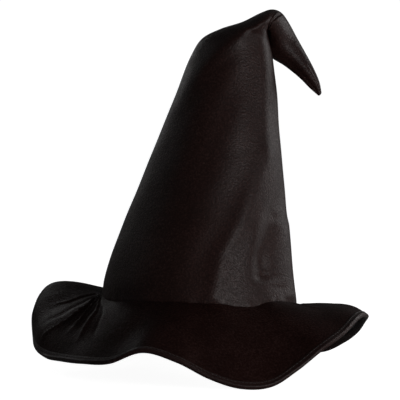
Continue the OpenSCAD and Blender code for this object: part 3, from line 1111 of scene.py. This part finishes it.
def make_band_stitches():
    """Slanting stitches that hold the band to the tape."""
    count = 132
    a0 = np.arange(count) / count * TURN
    a1 = a0 + TURN / count * 0.7
    p = np.stack([93.40 * np.cos(a0), 93.40 * np.sin(a0), np.full(count, -1.45)], -1)
    q = np.stack([93.72 * np.cos(a1), 93.72 * np.sin(a1), np.full(count, -1.05)], -1)
    down = np.tile([0.0, 0.0, -1.0], (count, 1))
    made = stitches("band_stitches", p, q, down, 0.24, 0.25)
    return dress(made, THREAD, "thread", "hat", "sweatband_stitching")


make_band_stitches()


def make_label(name, node, low, high, t_low, t_high, curl):
    """A blank woven label sewn along its top edge, its lower edge curling a little off the lining."""
    rows = 26
    t = np.linspace(t_low, t_high, rows)
    across = np.linspace(0, 1, 25)
    u = np.radians(low + (high - low) * across)
    loose = (1 - ramp(t, t_low, t_high - 0.1))[:, None] * (0.75 + 0.25 * np.cos(across * TURN))[None, :]
    lift = LABEL_DEPTH + curl * loose
    front = cone_point(t[:, None], u[None, :], lift + 0.3)
    back = cone_point(t[:, None], u[None, ::-1], lift[:, ::-1])
    made = outwards(surface(name, np.concatenate([front, back], 1)))
    return dress(made, LABEL, "label", "hat", node)


size_tab = make_label("size_tab", "size_label", 78, 90, 1.30, 1.75, 0.9)
care_tab = make_label("care_tab", "care_label", 94, 112, 1.30, 2.30, 1.3)


def make_wadding():
    """Loose filling of the tip: the tip's own shape drawn in, with soft lumps."""
    angles = np.arange(96) / 96 * TURN
    t = np.linspace(13.3, TIP_END - 0.9, 60)
    t, angles = t[:, None], angles[None, :]
    lumps = 0.3 * np.sin(5 * angles + 2.3 * t) * np.sin(3.1 * t + 2 * angles)
    p = cone_point(t, angles, 1.6 + lumps)
    made = outwards(surface("tip_wadding", p))
    return dress(made, WADDING, "wadding", None, "tip_filling")


tip_wadding = make_wadding()
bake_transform(tip_wadding)

# ---------- floor, light and camera ----------

FLOOR_Z = cad_box[0][2] - 0.0005


def make_floor():
    """A wide plain pale floor."""
    size = 60.0
    mesh = bpy.data.meshes.new("floor")
    corners = [(x * size, y * size, FLOOR_Z) for x, y in ((-1, -1), (1, -1), (1, 1), (-1, 1))]
    mesh.from_pydata(corners, [], [(0, 1, 2, 3)])
    made = bpy.data.objects.new("floor", mesh)
    bpy.context.scene.collection.objects.link(made)
    mat, nodes, links, shader = new_finish("pale_floor", (0.9, 0.9, 0.9), 0.9)
    shader.inputs["Specular IOR Level"].default_value = 0.0
    glow = add_node(nodes, "ShaderNodeEmission", Color=(1, 1, 1, 1), Strength=0.95)
    bright = nodes.new("ShaderNodeAddShader")
    links.new(shader.outputs[0], bright.inputs[0])
    links.new(glow.outputs[0], bright.inputs[1])
    dull = add_node(nodes, "ShaderNodeBsdfDiffuse", Color=(0.50, 0.50, 0.50, 1))
    path = nodes.new("ShaderNodeLightPath")
    pick = nodes.new("ShaderNodeMixShader")
    links.new(path.outputs["Is Camera Ray"], pick.inputs[0])
    links.new(dull.outputs[0], pick.inputs[1])
    links.new(bright.outputs[0], pick.inputs[2])
    links.new(pick.outputs[0], nodes["Material Output"].inputs[0])
    mesh.materials.append(mat)


make_floor()


def aim(thing, target):
    """Turns a light or camera so that it looks at a point."""
    way = Vector(target) - thing.location
    thing.rotation_euler = way.to_track_quat("-Z", "Y").to_euler()


def sun_light(name, way, strength, spread):
    """A soft light from one direction, even over the whole floor."""
    data = bpy.data.lights.new(name, "SUN")
    data.energy = strength
    data.angle = math.radians(spread)
    made = bpy.data.objects.new(name, data)
    made.location = (0, 0, 3)
    bpy.context.scene.collection.objects.link(made)
    made.rotation_euler = Vector(way).to_track_quat("-Z", "Y").to_euler()


sun_light("top_light", (0.1, 0.25, -1.0), 0.03, 60)


def box_at(name, turn, rise, far, size, power, height=0.08):
    """A soft box at an angle round the object and above level, turned to it."""
    a, e = math.radians(turn), math.radians(rise)
    level = far * math.cos(e)
    data = bpy.data.lights.new(name, "AREA")
    data.shape = "RECTANGLE"
    data.size, data.size_y = size
    data.energy = power
    made = bpy.data.objects.new(name, data)
    made.location = (level * math.cos(a), level * math.sin(a), height + far * math.sin(e))
    bpy.context.scene.collection.objects.link(made)
    aim(made, (0.02, 0, height))


box_at("right_box", 313, 2, 1.3, (0.40, 0.26), 7.5, 0.02)
box_at("side_box", 33, 14, 1.6, (0.45, 0.9), 5)
box_at("left_box", 160, 30, 1.6, (0.3, 0.3), 0.9)
box_at("left_rim", 116, 18, 1.7, (0.5, 0.3), 0.8)


def make_world():
    """A white studio round the object: bright where it is seen, dimmer as a light."""
    world = bpy.data.worlds.new("studio")
    bpy.context.scene.world = world
    world.use_nodes = True
    nodes, links = world.node_tree.nodes, world.node_tree.links
    nodes.clear()
    seen = add_node(nodes, "ShaderNodeBackground", Color=(1, 1, 1, 1), Strength=1.05)
    light = add_node(nodes, "ShaderNodeBackground", Color=(1, 1, 1, 1), Strength=0.06)
    path = nodes.new("ShaderNodeLightPath")
    pick = nodes.new("ShaderNodeMixShader")
    out = nodes.new("ShaderNodeOutputWorld")
    links.new(path.outputs["Is Camera Ray"], pick.inputs[0])
    links.new(light.outputs[0], pick.inputs[1])
    links.new(seen.outputs[0], pick.inputs[2])
    links.new(pick.outputs[0], out.inputs[0])


make_world()


def make_camera():
    """A long lens, three degrees above level, straight at the front."""
    far, rise = 2.5, math.radians(3.0)
    sensor, view_width = 36.0, 0.412
    target = Vector((0.0005, 0.0, 0.104))
    data = bpy.data.cameras.new("camera")
    data.sensor_width = sensor
    data.lens = sensor * far / view_width
    data.clip_end = 200.0
    made = bpy.data.objects.new("camera", data)
    made.location = target + Vector((0, -math.cos(rise) * far, math.sin(rise) * far))
    bpy.context.scene.collection.objects.link(made)
    aim(made, target)
    bpy.context.scene.camera = made


make_camera()
bpy.context.scene.view_settings.view_transform = "Standard"
